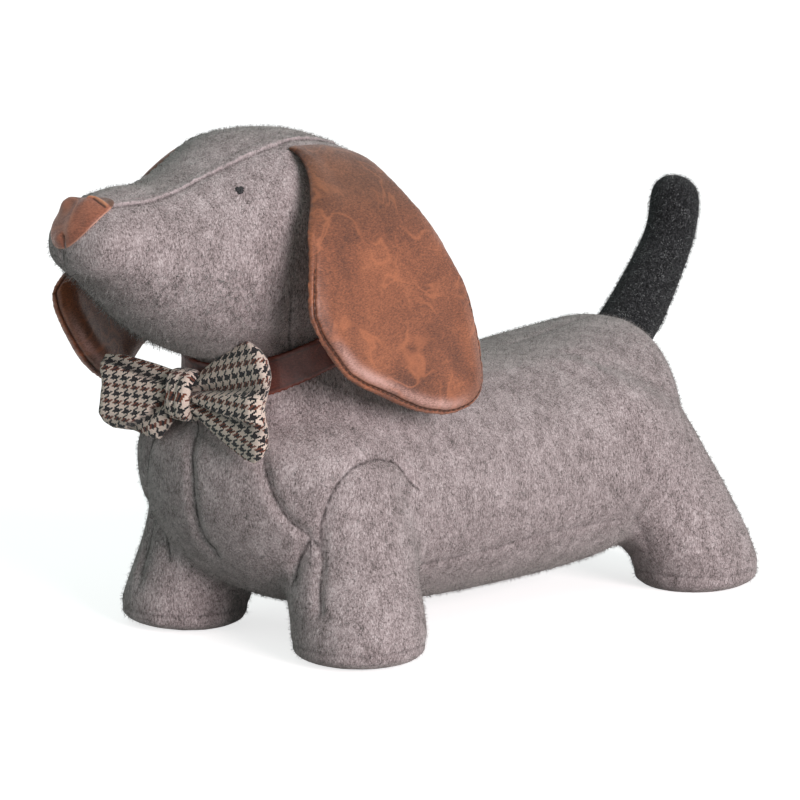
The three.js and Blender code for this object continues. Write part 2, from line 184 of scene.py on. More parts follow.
def fill(piece, pressure, cap):
    """Presses wadding into the skin from inside. No point moves further than the cap, in mm."""
    before = millimetres(piece)
    take(piece)
    cloth = piece.modifiers.new("wadding", "CLOTH")
    cloth.settings.quality = 4
    cloth.settings.use_pressure = True
    cloth.settings.uniform_pressure_force = pressure
    cloth.settings.effector_weights.gravity = 0
    cloth.point_cache.frame_start = 1
    cloth.point_cache.frame_end = press_frames
    for number in range(1, press_frames + 1):
        scene.frame_set(number)
    bpy.ops.object.modifier_apply(modifier=cloth.name)
    scene.frame_set(1)
    move = millimetres(piece) - before
    length = np.linalg.norm(move, axis=1, keepdims=True)
    put_back(piece, before + move * np.minimum(1, cap / np.maximum(length, 1e-6)))


def stuffed(name, *from_nodes, voxel, softening, pressure=4, cap=2, fineness=1):
    piece = copy_of(name, *from_nodes)
    finish_with(piece, "REMESH", mode="VOXEL", voxel_size=voxel * MM, adaptivity=0)
    finish_with(piece, "LAPLACIANSMOOTH", lambda_factor=0.6, iterations=softening,
                use_volume_preserve=True)
    fill(piece, pressure, cap)
    finish_with(piece, "SUBSURF", levels=fineness, render_levels=fineness)
    smooth(piece)
    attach(piece, "root")
    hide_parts(*from_nodes)
    return piece


# Seams

def through(points, step=0.4):
    """A smooth line through the points, as close points along it."""
    points = np.array(points, float)
    ends = np.vstack([2 * points[0] - points[1], points, 2 * points[-1] - points[-2]])
    line = []
    for before, here, there, after in zip(ends, ends[1:], ends[2:], ends[3:]):
        bend = 2 * before - 5 * here + 4 * there - after
        twist = 3 * here - before - 3 * there + after
        count = max(2, int(np.linalg.norm(there - here) / step))
        for t in np.arange(count) / count:
            line.append(0.5 * (2 * here + (there - before) * t + bend * t ** 2 + twist * t ** 3))
    line.append(ends[-2])
    return np.array(line)


def seam_distances(piece, lines):
    """For each point: how far beside the nearest seam, from it, and along it."""
    points, normals = millimetres(piece), outwards(piece)
    spots = np.vstack(lines)
    tangents = np.vstack([np.gradient(line, axis=0) for line in lines])
    runs = np.concatenate([lengths_along(line) for line in lines])
    nearest, _ = nearest_of(spots, points)
    offset = points - spots[nearest]
    side = unit(np.cross(unit(tangents)[nearest], normals))
    return (offset * side).sum(1), np.linalg.norm(offset, axis=1), runs[nearest]


def onto(piece, line):
    """The same line, laid on the piece's surface."""
    laid = []
    for point in line:
        found = piece.closest_point_on_mesh(place(*point))
        laid.append(measured(found[1]))
    return np.array(laid)


def mirrored(points):
    return [(-x, y, z) for x, y, z in points]


# Materials

class Finish:
    """A material, made node by node."""

    def __init__(self, name):
        self.material = bpy.data.materials.new(name)
        self.material.use_nodes = True
        self.tree = self.material.node_tree
        self.shader = self.tree.nodes["Principled BSDF"]
        self.place = self.add("ShaderNodeTexCoord").outputs["Object"]

    def add(self, kind, inputs=(), **settings):
        node = self.tree.nodes.new(kind)
        for name, value in settings.items():
            setattr(node, name, value)
        for name, value in dict(inputs).items():
            self.give(node.inputs[name], value)
        return node

    def give(self, socket, value):
        if isinstance(value, bpy.types.NodeSocket):
            self.tree.links.new(value, socket)
        else:
            socket.default_value = value

    def surface(self, values):
        """Links or sets the shader's own sockets."""
        for name, value in values.items():
            self.give(self.shader.inputs[name], value)

    def math(self, operation, a, b=0.0):
        return self.add("ShaderNodeMath", {0: a, 1: b}, operation=operation).outputs[0]

    def times(self, a, b):
        return self.math("MULTIPLY", a, b)

    def apart(self, a, b):
        """How far two values are apart."""
        return self.math("ABSOLUTE", self.math("SUBTRACT", a, b))

    def total(self, *parts):
        """The sum of some values, each with its share."""
        whole = None
        for value, share in parts:
            part = self.times(value, share)
            whole = part if whole is None else self.math("ADD", whole, part)
        return whole

    def noise(self, *scale, turn=(0, 0, 0), on=None, detail=2.0, roughness=0.5, distortion=0.0):
        """Soft spots, so many to the metre each way or all ways."""
        scale = scale * 3 if len(scale) == 1 else scale
        inputs = {"Vector": on or self.place, "Scale": scale, "Rotation": turn}
        spread = self.add("ShaderNodeMapping", inputs).outputs["Vector"]
        inputs = {"Vector": spread, "Scale": 1.0, "Detail": detail,
                  "Roughness": roughness, "Distortion": distortion}
        return self.add("ShaderNodeTexNoise", inputs).outputs["Fac"]

    def ramp(self, value, *stops):
        node = self.add("ShaderNodeValToRGB", {"Fac": value})
        steps = node.color_ramp.elements
        while len(steps) < len(stops):
            steps.new(1.0)
        for step, (at, color) in zip(steps, stops):
            step.position = at
            step.color = (*color, 1)
        return node.outputs["Color"]

    def grade(self, value, low, high, to_low=0.0, to_high=1.0):
        inputs = {"Value": value, "From Min": low, "From Max": high,
                  "To Min": to_low, "To Max": to_high}
        return self.add("ShaderNodeMapRange", inputs).outputs["Result"]

    def mixed(self, share, a, b, kind="MIX"):
        node = self.add("ShaderNodeMix", data_type="RGBA", blend_type=kind)
        for socket, value in ((node.inputs[0], share), (node.inputs[6], a), (node.inputs[7], b)):
            self.give(socket, (*value, 1) if isinstance(value, tuple) and len(value) == 3 else value)
        return node.outputs[2]

    def attribute(self, name):
        return self.add("ShaderNodeAttribute", attribute_name=name).outputs["Fac"]

    def bump(self, height, strength, distance, under=None):
        inputs = {"Height": height, "Strength": strength, "Distance": distance * MM}
        if under is not None:
            inputs["Normal"] = under
        return self.add("ShaderNodeBump", inputs).outputs["Normal"]

    def wear(self, *pieces):
        for piece in pieces:
            piece.data.materials.clear()
            piece.data.materials.append(self.material)


def stronger(color, factor):
    return tuple(min(1, value * factor) for value in color)


def shade(red, green, blue):
    """A colour as seen on a screen, 0 to 255, in the linear numbers that a shader takes."""
    parts = (red / 255, green / 255, blue / 255)
    return tuple(part / 12.92 if part <= 0.04045 else ((part + 0.055) / 1.055) ** 2.4 for part in parts)


def felt():
    """Brushed grey wool felt: short streaky fibres, soft mottles, darker lines along the seam valleys
    with painted shade on the wrinkles, and a painted highlight on the head's welt.
    """
    finish = Finish("brushed_grey_felt")
    streaks = finish.noise(1700, 1700, 560, detail=3, roughness=0.65, distortion=0.5)
    curls = finish.noise(1100, 1100, 900, detail=2, roughness=0.6, distortion=1.5)
    mottle = finish.noise(170, 170, 120, detail=3, roughness=0.6)
    cloud = finish.noise(40, detail=2)
    tone = finish.total((streaks, 0.5), (curls, 0.32), (mottle, 0.22), (cloud, 0.1))
    color = finish.ramp(tone, (0.43, shade(92, 85, 83)), (0.55, shade(165, 150, 150)),
                        (0.59, shade(183, 167, 168)), (0.71, shade(226, 213, 213)))
    # Darker lines in the valleys: the seams' own dark joints, and painted shade along the leg wrinkles
    # and the inner crease
    side = finish.math("ABSOLUTE", finish.attribute("seam_side"))
    close = finish.grade(finish.attribute("seam_near"), 3.5, 5.0, 1.0, 0.0)
    close = finish.times(close, finish.attribute("seam_tone"))
    uneven = finish.grade(finish.noise(300, detail=2), 0.3, 0.6, 0.35, 1.0)
    seam_joint_and_shade = finish.times(finish.grade(side, 0.1, 1.1, 0.8, 0.0), close)
    color = finish.mixed(finish.times(seam_joint_and_shade, uneven), color, shade(44, 38, 38))
    # A painted highlight along the raised welt above the seam of the head's top panel
    off = finish.apart(finish.attribute("above_gusset"), 1.3)
    pucker = finish.grade(finish.noise(420, detail=1), 0.35, 0.6, 0.45, 1.0)
    ridge = finish.times(finish.grade(off, 0.2, 1.1, 1.0, 0.0), pucker)
    color = finish.mixed(finish.times(ridge, 0.55), color, shade(226, 206, 208))
    pile = finish.total((streaks, 0.5), (curls, 0.5))
    pressed = finish.bump(ridge, 0.7, 0.9)
    finish.surface({"Base Color": color, "Roughness": 0.95, "Specular IOR Level": 0.1,
                    "Sheen Weight": 0.3, "Sheen Roughness": 0.45, "Sheen Tint": (0.6, 0.64, 0.58, 1),
                    "Normal": finish.bump(pile, 0.7, 0.7, pressed)})
    return finish


def dark_wool():
    """Near-black wool with a few pale fibres in it."""
    finish = Finish("dark_tail_wool")
    curls = finish.noise(1100, 1100, 800, detail=3, roughness=0.65, distortion=1.5)
    flecks = finish.noise(900, 900, 500, detail=1, distortion=2.5)
    color = finish.ramp(curls, (0.35, shade(14, 14, 15)), (0.52, shade(42, 42, 44)),
                        (0.66, shade(96, 96, 98)))
    color = finish.mixed(finish.grade(flecks, 0.68, 0.74, 0.0, 0.8), color, shade(170, 172, 172))
    finish.surface({"Base Color": color, "Roughness": 0.95, "Specular IOR Level": 0.1,
                    "Sheen Weight": 0.12, "Sheen Roughness": 0.5,
                    "Normal": finish.bump(curls, 0.8, 0.8)})
    return finish


def leather(name, dark, middle, light, roughness, rim=False, strap=False, patch=False):
    """Distressed leather: soft clouds, paler veins and a fine grain, darker in a stitched groove."""
    finish = Finish(name)
    clouds = finish.noise(30, detail=4, roughness=0.6, distortion=0.6)
    wander = finish.noise(34, turn=(0.4, 0.9, 0.2), detail=2, distortion=1.2)
    patchy = finish.grade(finish.noise(52, detail=1), 0.4, 0.54)
    veins = finish.times(finish.grade(finish.apart(wander, 0.5), 0.0, 0.04, 1.0, 0.0), patchy)
    brushed = finish.noise(800, 800, 1700, turn=(0.5, 0.1, 0.0), detail=3, roughness=0.7)
    specks = finish.noise(2400, detail=2, roughness=0.6)
    tone = finish.total((clouds, 0.42), (brushed, 0.48), (specks, 0.1))
    color = finish.ramp(tone, (0.38, dark), (0.5, middle), (0.62, light))
    color = finish.mixed(finish.times(veins, 0.55), color, stronger(light, 1.25))
    normal = finish.bump(finish.noise(1300, detail=3, roughness=0.65), 0.5, 0.25)
    if strap:
        from_middle = finish.math("ABSOLUTE", finish.attribute("from_middle"))
        cut = finish.grade(from_middle, 6.6, 8.2, 0.0, 0.75)
        line = finish.grade(finish.apart(from_middle, 6.0), 0.0, 0.6, 0.6, 0.0)
        color = finish.mixed(cut, color, stronger(light, 1.7))
        color = finish.mixed(line, color, stronger(dark, 0.5))
    if rim:
        off = finish.apart(finish.attribute("rim_inset"), stitch_inset)
        dip = finish.times(finish.grade(off, 0.1, 0.75, 1.0, 0.0), finish.attribute("rim_sewn"))
        # A painted highlight along the padded lower edge of the ear, patchy with the leather's tone
        highlight_patches = finish.grade(tone, 0.4, 0.58, 0.3, 0.9)
        painted_highlight = finish.times(finish.attribute("painted_highlight"), highlight_patches)
        color = finish.mixed(painted_highlight, color, shade(226, 180, 170))
        # Painted shade: darker and greener towards the ear's root
        color = finish.mixed(finish.attribute("painted_root_shade"), color, (0.62, 0.68, 0.66), "MULTIPLY")
        color = finish.mixed(finish.times(dip, 0.55), color, stronger(dark, 0.3))
        normal = finish.bump(finish.times(dip, -1.0), 0.8, 0.7, normal)
    if patch:
        # What is marked, from where to where, how strongly and in which colour
        for mark_name, low, high, most, tint in (
                ("to_edge", 0.96, 0.985, 0.55, shade(222, 168, 146)),
                # Painted shade above the lip and on the patch's far side
                ("painted_nose_shade", 0, 1, 0.75, shade(74, 56, 42)),
                ("lip", 0.4, 0.9, 0.7, shade(232, 160, 118)),
                # Darker along the sewn crease, its own dark joint, and as painted shade in the pleat
                ("crease", 0.3, 0.9, 0.8, shade(34, 20, 16))):
            share = finish.grade(finish.attribute(mark_name), low, high, 0.0, most)
            color = finish.mixed(share, color, tint)
    gloss = finish.grade(tone, 0.4, 0.62, roughness + 0.08, roughness - 0.06)
    finish.surface({"Base Color": color, "Roughness": gloss, "Normal": normal})
    return finish


yarn_width = 0.6
yarns_in_check = 8
dark_yarns = yarns_in_check / 2 - 0.5


def houndstooth():
    """A woven check of four dark and four pale yarns each way, every other dark row rust brown."""
    finish = Finish("houndstooth_cloth")
    flat = finish.add("ShaderNodeUVMap", uv_map="cloth").outputs["UV"]
    wobble = finish.noise(700, on=flat, detail=1)
    split = finish.add("ShaderNodeSeparateXYZ", {0: flat})
    shift = finish.times(finish.math("SUBTRACT", wobble, 0.5), 0.35)

    def count(socket):
        return finish.math("ADD", finish.math("DIVIDE", socket, yarn_width * MM), shift)

    def within(value, period, limit):
        return finish.math("LESS_THAN", finish.math("FLOORED_MODULO", value, period), limit)

    def rounded(value):
        return finish.math("SINE", finish.times(finish.math("FRACT", value), math.pi))

    across, up = count(split.outputs[0]), count(split.outputs[1])
    column, row = finish.math("FLOOR", across), finish.math("FLOOR", up)
    warp_on_top = within(finish.math("SUBTRACT", column, row), 4, 1.5)
    dark_warp, dark_weft = (within(yarn, yarns_in_check, dark_yarns) for yarn in (column, row))
    rust_row = within(row, 2 * yarns_in_check, 7.5)
    pale, charcoal, rust = (0.96, 0.78, 0.68), shade(32, 32, 38), shade(132, 74, 58)
    warp = finish.mixed(dark_warp, pale, charcoal)
    weft = finish.mixed(dark_weft, pale, finish.mixed(rust_row, charcoal, rust))
    color = finish.mixed(warp_on_top, weft, warp)
    fuzz = finish.noise(2600, detail=3, roughness=0.7)
    color = finish.mixed(finish.grade(fuzz, 0.35, 0.6, 0.22, 0.0), color, shade(120, 104, 96))
    folded = finish.times(finish.attribute("fold_shade"), 0.9)
    color = finish.mixed(folded, color, shade(26, 22, 22))
    yarns = finish.mixed(warp_on_top, rounded(up), rounded(across))
    height = finish.total((yarns, 0.6), (fuzz, 0.6))
    finish.surface({"Base Color": color, "Roughness": 0.9, "Specular IOR Level": 0.15,
                    "Sheen Weight": 0.25, "Normal": finish.bump(height, 0.6, 0.35)})
    return finish


def thread(name, color):
    finish = Finish(name)
    twist = finish.noise(3500, detail=2)
    tones = finish.ramp(twist, (0.35, stronger(color, 0.5)), (0.65, stronger(color, 1.5)))
    finish.surface({"Base Color": tones, "Roughness": 0.6, "Normal": finish.bump(twist, 0.5, 0.2)})
    return finish


def fuzz_finish(name, *tones):
    """Loose fibres, whose tone goes across their own UV map."""
    finish = Finish(name)
    flat = finish.add("ShaderNodeUVMap", uv_map="OFBake").outputs["UV"]
    split = finish.add("ShaderNodeSeparateXYZ", {0: flat})
    finish.surface({"Base Color": finish.ramp(split.outputs[0], *tones),
                    "Roughness": 0.9, "Specular IOR Level": 0.1})
    return finish


# The felt skin and its seams

gusset_seam = [(13, -213, 203), (16, -204, 201.5), (18, -195, 201), (17.5, -180, 204),
               (18, -167, 208), (21, -158, 211.5), (24, -150, 215), (26, -134, 219),
               (25, -122, 220), (25, -100, 218)]
chest_seam = [(34, -148, 91), (39, -149, 77), (44, -144, 64), (50, -137, 56), (54, -134, 48),
              (55, -136, 36), (57, -138, 26)]
middle_chest_seam = [(-6, -150, 98), (-4, -155, 90), (-2, -157, 81), (-2, -157, 73), (-3, -154, 62),
                     (-4, -151, 54), (-3, -147, 47), (-1, -145, 44)]
shoulder_seam = [(54, -134, 52), (55, -134, 60), (57, -133, 68), (60, -130, 78), (63, -122, 86),
                 (63, -111, 88), (63, -103, 87), (64, -95, 84), (66, -87, 75)]
neck_seam = [(45, -141, 157), (40, -137, 146), (32, -129, 133)]
mouth_stitch = [(-4.4, -225, 180), (-4.6, -224.5, 177)]
inner_crease = [(49, -136, 53), (42, -136, 44), (39, -136, 37)]
far_leg_seam = [(-49, -137, 38), (-53, -138, 27), (-56, -139, 20)]
belly_line = [(57, -76, 37), (60, -40, 38), (62, -2, 40), (62, 30, 40), (60, 49, 40)]
spine_line = [(0, 40, 114), (0, 66, 117), (0, 95, 121)]
leg_wrinkles = [[(65, 41, 55), (61, 52, 47), (56, 69, 36)],
                [(58, 66, 32), (56, 73, 27), (55, 78, 23)]]
sole_seam_height = 8.5
pucker_pitch = 5.5


def round_sole(sole):
    """The seam where a sole is sewn in."""
    low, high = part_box(sole)
    middle = ((low + high) / 2 - feet_middle) / MM
    radius = (high.x - low.x) / 2 / MM
    return [(middle.x + radius * math.cos(turn), middle.y + radius * math.sin(turn), sole_seam_height)
            for turn in np.linspace(0, 2 * math.pi, 40)]


# Where the stuffing is thinner or fuller: the spot, how far that reaches and how far it goes
skin_dents = [((-24, -174, 203), 20, -1.8), ((-28, -150, 212), 16, -3.4), ((-14, -222, 182), 14, -1.0),
              ((-48, -132, 74), 30, 1.2), ((-78, -120, 26), 26, -3.2), ((0, 40, 116), 34, -1.2),
              ((16, -112, 222), 20, 1.4)]
tail_dents = [((0, 172, 194), 13, -3.2), ((0, 162, 168), 14, 1.4)]


def shape_by_hand(skin, dents):
    """Presses the stuffing in or lets it swell at each spot."""
    points, normals = millimetres(skin), outwards(skin)
    for spot, reach, rise in dents:
        share = hill(np.linalg.norm(points - spot, axis=1), reach)
        points += normals * (share * rise)[:, None]
    put_back(skin, points)


def sink_foot(tail):
    """Sets the tail's foot into the rump."""
    points = millimetres(tail)
    foot = smooth_step(126, 106, points[:, 2] + 0.5 * (points[:, 1] - 120))
    put_back(tail, points + foot[:, None] * np.array([0, -9, -7]))


def felt_skin():
    skin = stuffed("felt_skin", "stuffed_body", *soles, voxel=4, softening=4)
    shape_by_hand(skin, skin_dents)
    gussets = [gusset_seam, mirrored(gusset_seam)]
    creases = [chest_seam, shoulder_seam, middle_chest_seam, inner_crease, mirrored(chest_seam),
               mirrored(shoulder_seam), mirrored(inner_crease)]
    light_seams = [neck_seam, mirrored(neck_seam), mouth_stitch]
    faint_seams = [far_leg_seam, belly_line, mirrored(belly_line), spine_line, *leg_wrinkles,
                   *map(mirrored, leg_wrinkles), *map(round_sole, soles)]
    groups = [[onto(skin, through(seam)) for seam in group]
              for group in (gussets, creases, light_seams, faint_seams)]
    gusset_lines = groups[0]
    points, normals = millimetres(skin), outwards(skin)
    move = np.zeros(len(points))
    nearest, tone = np.full(len(points), 1e9), np.zeros(len(points))
    # How dark each group's line is painted; on the leg wrinkles and the inner crease this darkness is
    # painted shade
    depths, widths, darkness = (0.6, 1.9, 0.8, 0.6), (1.5, 2.6, 1.8, 2.0), (0.6, 1, 0.9, 0.4)
    for group, depth, width, dark in zip(groups, depths, widths, darkness):
        side, near, run = seam_distances(skin, group)
        tone = np.where(near < nearest, dark, tone)
        nearest = np.minimum(nearest, near)
        move -= depth * hill(near, width)
        if group is gusset_lines:
            above = -side * np.sign(points[:, 0])
            pucker = 1 + 0.3 * np.sin(run * 2 * math.pi / pucker_pitch)
            move += 0.9 * pucker * hill(above - 2.2, 1.6) * (near < 6)
            mark(skin, "above_gusset", np.where(near < 6, above, -20))
    side, near, run = seam_distances(skin, sum(groups, []))
    put_back(skin, points + normals * move[:, None])
    mark(skin, "seam_side", side)
    mark(skin, "seam_near", near)
    mark(skin, "seam_tone", tone)
    felt().wear(skin)
    return skin


# Ears

stitch_inset = 1.7
stitch_pitch = 3.0
outline_parts = 240


def outline_of(points):
    """The ear's edge as seen from the dog's side, as (y, z) points round it."""
    middle = points[:, 1:].mean(0)
    out = points[:, 1:] - middle
    turn = np.arctan2(out[:, 1], out[:, 0])
    radius = np.linalg.norm(out, axis=1)
    part = np.floor((turn + math.pi) / (2 * math.pi) * outline_parts).astype(int) % outline_parts
    reach = np.array([radius[part == number].max() for number in range(outline_parts)])
    reach = (np.roll(reach, 1) + 2 * reach + np.roll(reach, -1)) / 4
    angles = (np.arange(outline_parts) + 0.5) / outline_parts * 2 * math.pi - math.pi
    edge = middle + np.stack([np.cos(angles), np.sin(angles)], 1) * reach[:, None]
    return np.array([spot + (following - spot) * share
                     for spot, following in zip(edge, np.roll(edge, -1, 0))
                     for share in (0, 0.25, 0.5, 0.75)])


def distance_to(edge, flat):
    spots, points = (np.column_stack([rows, np.zeros(len(rows))]) for rows in (edge, flat))
    return nearest_of(spots, points)[1]


def stitches(name, spots, directions, length, radius, finish):
    """A row of short threads, one shape copied to each spot."""
    bpy.ops.object.select_all(action="DESELECT")
    bpy.ops.mesh.primitive_uv_sphere_add(segments=6, ring_count=5, radius=1)
    piece = bpy.context.object
    shape = np.array([tuple(v.co) for v in piece.data.vertices])
    faces = [tuple(f.vertices) for f in piece.data.polygons]
    shape[:, :2] *= radius
    shape[:, 2] *= length / 2
    points, polygons = [], []
    for spot, way in zip(spots, directions):
        turn = Vector(way).to_track_quat("Z", "Y").to_matrix()
        placed = shape @ np.array(turn).T + spot
        polygons += [tuple(len(points) * len(shape) + v for v in face) for face in faces]
        points.append(placed)
    mesh = bpy.data.meshes.new(name)
    mesh.from_pydata([tuple(place(*p)) for p in np.vstack(points)], [], polygons)
    piece.data = mesh
    piece.name = name
    smooth(piece)
    finish.wear(piece)
    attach(piece, "root")
    return piece


def sewn_share(points):
    """1 where the ear's rim is stitched, fading to 0 at its root and on its back edge."""
    y, z = points[..., -2], points[..., -1]
    root = 1 - smooth_step(150, 200, z)
    back = 1 - smooth_step(146, 160, z) * smooth_step(-112, -98, y)
    return root * back


def leather_ear(side, sign, hang, finish, yarn):
    ear = stuffed(f"leather_ear_{side}", f"ear_{side}", voxel=1.6, softening=3, cap=1.2)
    points, normals = hang(millimetres(ear)), outwards(ear)
    put_back(ear, points)
    edge = outline_of(points)
    inset = distance_to(edge, points[:, 1:])
    puff = 0.8 * hill(inset - 9, 5) - 0.7 * hill(inset - stitch_inset, 0.9)
    put_back(ear, points + normals * (puff * sewn_share(points))[:, None])
    mark(ear, "rim_inset", inset)
    mark(ear, "rim_sewn", sewn_share(points))
    # Where the painted highlight lies: just inside the lower rim, towards the front
    low = smooth_step(150, 134, points[:, 2])
    mark(ear, "painted_highlight", hill(inset - 5.0, 2.2) * low * smooth_step(-66, -88, points[:, 1]))
    # Painted shade towards the root, at the top of the ear
    mark(ear, "painted_root_shade", smooth_step(176, 208, points[:, 2]))
    finish.wear(ear)
    sew_rim(ear, edge, side, sign, yarn)
    return ear


def sew_rim(ear, edge, side, sign, yarn):
    """Single stitches in the groove along the ear's rim."""
    inward = edge.mean(0) - edge
    tangent = np.roll(edge, -3, 0) - np.roll(edge, 3, 0)
    across = unit(np.stack([-tangent[:, 1], tangent[:, 0]], 1))
    across *= np.sign((across * inward).sum(1, keepdims=True))
    row = edge + across * stitch_inset
    along = lengths_along(row)
    spots, ways = [], []
    for run in np.arange(0, along[-1], stitch_pitch):
        laid = []
        for end in (run - 0.7, run + 0.7):
            y, z = (np.interp(end, along, row[:, k]) for k in (0, 1))
            hit, where, _, _ = ear.ray_cast(place(sign * 200, y, z), Vector((-sign, 0, 0)))
            if hit:
                laid.append(measured(where))
        if len(laid) == 2 and sewn_share(laid[0]) > 0.5 and np.linalg.norm(laid[1] - laid[0]) < 4:
            spots.append((laid[0] + laid[1]) / 2 + np.array([sign * 0.1, 0, 0]))
            ways.append(laid[1] - laid[0])
    thread_row = stitches(f"ear_stitches_{side}", spots, ways, 2.1, 0.28, yarn)


def near_hang(points):
    """The near ear's front edge lies a little further forward, and its root lower towards the back."""
    y, z = points[:, 1], points[:, 2]
    forward = smooth_step(-115, -140, y) * smooth_step(205, 185, z)
    root = smooth_step(190, 212, z) * smooth_step(-136, -120, y)
    return points - np.stack([0 * y, 3.0 * forward, 2.4 * root], 1)


def far_hang(points):
    """The far ear's root lies lower, and its low front corner further back."""
    y, z = points[:, 1], points[:, 2]
    root = smooth_step(180, 205, z)
    corner = smooth_step(150, 130, z)
    return points + np.stack([0 * y, 1.0 * corner, -3.6 * root], 1)


# Nose, eyes and collar

# Lines on the nose patch, across the dog and up the slope of the muzzle's tip
nose_edge = [(0, 35.8), (5.5, 37), (9.8, 36), (12, 32.6), (12.2, 27.2), (11, 21.6), (7.4, 16.2),
             (1, 12), (-6, 11.2), (-11.5, 13.5), (-15, 19), (-16.2, 27), (-13, 33), (-6, 35.4)]
nose_middle = np.array([-0.5, 25])
nose_lip = [(1.2, 33.0), (3.2, 34.0), (7.4, 33.0), (11.6, 31.4)]
nose_stitch = [(3.4, 32.9), (7.4, 31.9), (10.6, 30.9)]
nose_pleat = [(-3.2, 15.6), (-2.2, 14.8), (-1.8, 11.5)]
# Where the patch is puffed up: the line, how wide and how high
nose_swells = [([(0.6, 32), (0.8, 20)], 4.0, 1.3), ([(-9.5, 31), (-10, 29.5)], 3.8, 2.6),
               ([(4, 30), (9, 22)], 3.2, 0.7), ([(1.5, 16.5), (4, 18)], 2.6, 0.6),
               ([(-6, 14.5), (-7, 14.5)], 2.2, 0.9)]
slope_up = np.array([0, 0.6, 0.8])
slope_out = np.array([0, -0.8, 0.6])


def near(flat, line, width):
    """1 on a line drawn on the flat patch, falling to 0 beside it."""
    nearest = np.full(len(flat), 1e9)
    line = np.array(line, float)
    for start, way in zip(line, np.diff(line, axis=0)):
        share = ((flat - start) @ way / max(way @ way, 1e-9)).clip(0, 1)
        nearest = np.minimum(nearest, np.linalg.norm(flat - start - share[:, None] * way, axis=1))
    return hill(nearest, width)


def round_the_nose(share):
    """The point that lies this share of the way round the patch's edge."""
    loop = through([nose_edge[-1], *nose_edge, *nose_edge[:2]], step=0.2)
    seek = 60

    def first(points):
        return int(np.argmin(np.linalg.norm(points - np.array(nose_edge[0]), axis=1)))

    loop = loop[first(loop[:seek]):len(loop) - seek + first(loop[-seek:]) + 1]
    run = lengths_along(loop)
    return np.stack([np.interp(share * run[-1], run, loop[:, k]) for k in (0, 1)], 1)


def muzzle_under(skin, flat):
    """The muzzle under the flat patch, as one smooth bulge: its points and the way outwards."""
    depths = []
    for across, up in flat:
        start = np.array([across, 0, 0]) + up * slope_up + 340 * slope_out
        hit, where, _, _ = skin.ray_cast(place(*start), Vector(-slope_out))
        depths.append(measured(where) @ slope_out if hit else np.nan)
    depths = np.array(depths)
    half_width, half_height = 15, 13
    powers = [(i, j) for i in range(6) for j in range(6 - i)]
    u, v = flat[:, 0] / half_width, (flat[:, 1] - nose_middle[1]) / half_height
    terms = np.stack([u ** i * v ** j for i, j in powers], 1)
    good = np.abs(depths - np.nanmedian(depths)) < 14
    bulge = np.linalg.lstsq(terms[good], depths[good], rcond=None)[0]
    lean_u = np.stack([i * u ** max(i - 1, 0) * v ** j for i, j in powers], 1) @ bulge / half_width
    lean_v = np.stack([j * u ** i * v ** max(j - 1, 0) for i, j in powers], 1) @ bulge / half_height
    sideways = np.array([1, 0, 0]) + lean_u[:, None] * slope_out
    upwards = slope_up + lean_v[:, None] * slope_out
    outward = unit(np.cross(sideways, upwards))
    outward *= np.sign(outward @ slope_out)[:, None]
    laid = flat[:, :1] * np.array([1, 0, 0]) + flat[:, 1:] * slope_up
    return laid + (terms @ bulge)[:, None] * slope_out, outward


def leather_nose(skin, finish):
    """A leather patch laid over the muzzle's tip and puffed up a little."""
    nose, across, up = flat_grid("leather_nose", 160, 44)
    out = 1 - (1 - (up + 1) / 2) ** 1.6
    flat = nose_middle + (round_the_nose((across + 1) / 2) - nose_middle) * out[:, None]
    inner = 1 - out ** 12
    lip, crease = near(flat, nose_lip, 0.8), near(flat, nose_stitch, 0.45)
    pleat = near(flat, nose_pleat, 0.8)
    height = 0.2 + 0.7 * inner - 0.5 * near(flat, [(-13, 34), (6, 35)], 2.5)
    for line, width, rise in nose_swells:
        height += rise * near(flat, line, width) * inner
    height += (0.8 * lip - 0.6 * crease) * inner - 1.5 * pleat * (0.3 + 0.7 * inner)
    lip_line = np.interp(flat[:, 0], *np.array(nose_lip).T)
    # Painted shade on the strip above the lip, and more lightly on the patch's far side
    painted_nose_shade = smooth_step(0.5, 1.3, flat[:, 1] - lip_line) * smooth_step(0, 2, flat[:, 0])
    far_side_shade = smooth_step(0, -9, flat[:, 0]) * smooth_step(16, 24, flat[:, 1])
    painted_nose_shade = np.maximum(painted_nose_shade, 0.45 * far_side_shade)
    laid, outward = muzzle_under(skin, flat)
    put_back(nose, laid + outward * (height + 0.2)[:, None])
    mark(nose, "to_edge", out)
    mark(nose, "lip", lip * inner)
    # Darker along the sewn crease, its own dark joint, and painted shade in the pleat
    mark(nose, "crease", np.maximum(crease, pleat))
    mark(nose, "painted_nose_shade", painted_nose_shade)
    weld(nose, 0.03)
    if outwards(nose)[:, 1].mean() > 0:
        nose.data.flip_normals()
    finish_with(nose, "SOLIDIFY", thickness=1.4 * MM, offset=-1)
    smooth(nose)
    finish.wear(nose)
    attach(nose, "root")
    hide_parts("nose")
    return nose


def thread_eye(side, sign, skin, finish):
    """A small knot of crossing threads."""
    hit = skin.closest_point_on_mesh(place(sign * 31.3, -157.2, 203.2))
    middle, up = measured(hit[1]), np.array(hit[2])
    level = np.cross(up, [0, 0, 1])
    level /= np.linalg.norm(level)
    rise = np.cross(level, up)
    spots, ways = [], []
    for number, lean in enumerate((5, 88, 40, 130, 20, 108, 62, 152, 95)):
        way = level * math.cos(math.radians(lean)) + rise * math.sin(math.radians(lean))
        beside = np.cross(up, way) * (-0.8, 0.8, 0.3, -0.4, 0.0)[number % 5]
        spots.append(middle + beside + up * (0.2 + 0.07 * number))
        ways.append(way)
    knot = stitches(f"thread_eye_{side}", spots, ways, 4.0, 0.5, finish)
    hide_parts(f"eye_{side}")
    return knot


